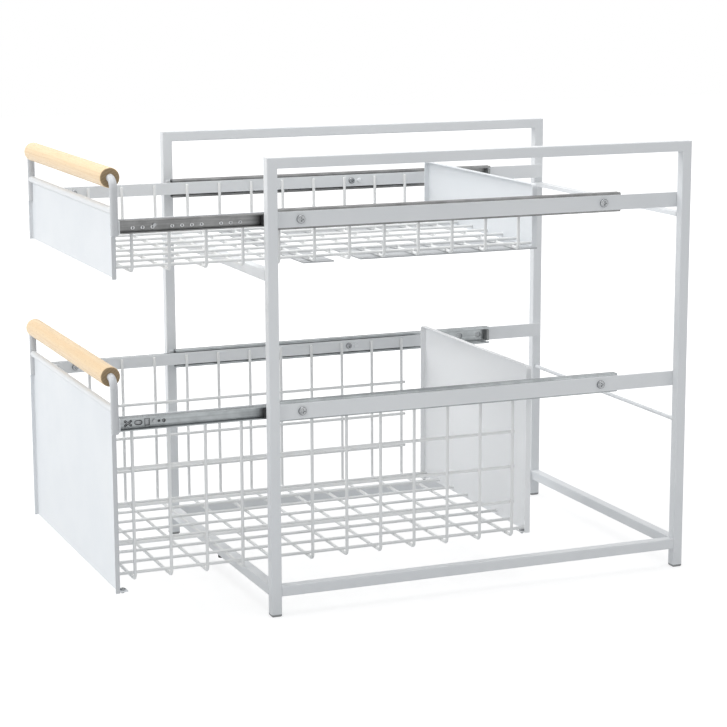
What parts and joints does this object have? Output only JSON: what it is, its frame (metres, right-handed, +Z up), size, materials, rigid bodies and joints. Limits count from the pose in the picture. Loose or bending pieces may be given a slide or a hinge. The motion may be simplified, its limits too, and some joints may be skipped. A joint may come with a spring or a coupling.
{
  "type": "pull out cabinet basket",
  "caption": "Free-standing two-tier organiser: an open square-tube frame with a shallow and a deep wire basket that pull out on ball slides by round wooden handles.",
  "frame": {"origin": "on the floor, below the middle of the whole length with the baskets out as shown", "axes": "+Z up, -Y the way the baskets pull out, +X across the frame"},
  "size_m": [0.32, 0.5792, 0.42],
  "materials": {
    "white_steel": "white powder coat, satin",
    "zinc_steel": "zinc plated, brushed",
    "chrome_steel": "polished",
    "beech_wood": "light beech, clear satin lacquer",
    "black_plastic": "matt black"
  },
  "bodies": {
    "frame": {"front_bar_pad": "black_plastic", "front_bottom_bar": "white_steel", "front_upper_bar": "white_steel", "left_bottom_rail": "white_steel", "left_front_foot": "black_plastic", "left_front_post": "white_steel", "left_lower_rail": "white_steel", "left_rear_foot": "black_plastic", "left_rear_post": "white_steel", "left_top_rail": "white_steel", "left_upper_rail": "white_steel", "lower_left_cabinet_member": "zinc_steel", "lower_right_cabinet_member": "zinc_steel", "rail_screws": "chrome_steel", "rear_bottom_bar": "white_steel", "rear_lower_rod": "white_steel", "rear_upper_strip": "white_steel", "right_bottom_rail": "white_steel", "right_front_foot": "black_plastic", "right_front_post": "white_steel", "right_lower_rail": "white_steel", "right_rear_foot": "black_plastic", "right_rear_post": "white_steel", "right_top_rail": "white_steel", "right_upper_rail": "white_steel", "slide_front_stops": "black_plastic", "slide_rear_bumpers": "black_plastic", "upper_left_cabinet_member": "zinc_steel", "upper_right_cabinet_member": "zinc_steel"},
    "upper_basket": {"upper_basket_screws": "chrome_steel", "upper_cross_tube": "white_steel", "upper_floor_strips": "white_steel", "upper_floor_wires": "white_steel", "upper_front_panel": "white_steel", "upper_grip": "beech_wood", "upper_handle_tube": "white_steel", "upper_left_drawer_member": "zinc_steel", "upper_left_side_wires": "white_steel", "upper_left_strap": "white_steel", "upper_rear_panel": "white_steel", "upper_right_drawer_member": "zinc_steel", "upper_right_side_wires": "white_steel", "upper_right_strap": "white_steel"},
    "lower_basket": {"lower_basket_screws": "chrome_steel", "lower_cross_tube": "white_steel", "lower_floor_wires": "white_steel", "lower_front_panel": "white_steel", "lower_grip": "beech_wood", "lower_handle_tube": "white_steel", "lower_left_drawer_member": "zinc_steel", "lower_left_side_wires": "white_steel", "lower_left_strap": "white_steel", "lower_rear_panel": "white_steel", "lower_right_drawer_member": "zinc_steel", "lower_right_side_wires": "white_steel", "lower_right_strap": "white_steel"},
    "upper_cages": {"upper_ball_cages": "zinc_steel", "upper_slide_balls": "chrome_steel"},
    "lower_cages": {"lower_ball_cages": "zinc_steel", "lower_slide_balls": "chrome_steel"}
  },
  "joints": [
    {"name": "upper_basket_slide", "type": "slide", "parent": "frame", "child": "upper_basket", "axis": [0, -1, 0], "range_m": [-0.13, 0.12]},
    {"name": "upper_cage_roll", "type": "slide", "parent": "frame", "child": "upper_cages", "axis": [0, -1, 0], "range_m": [-0.065, 0.06]},
    {"name": "lower_basket_slide", "type": "slide", "parent": "frame", "child": "lower_basket", "axis": [0, -1, 0], "range_m": [-0.134, 0.116]},
    {"name": "lower_cage_roll", "type": "slide", "parent": "frame", "child": "lower_cages", "axis": [0, -1, 0], "range_m": [-0.067, 0.058]}
  ],
  "couplings": [
    {"joint": "upper_cage_roll", "follows": "upper_basket_slide", "ratio": 0.5},
    {"joint": "lower_cage_roll", "follows": "lower_basket_slide", "ratio": 0.5}
  ]
}
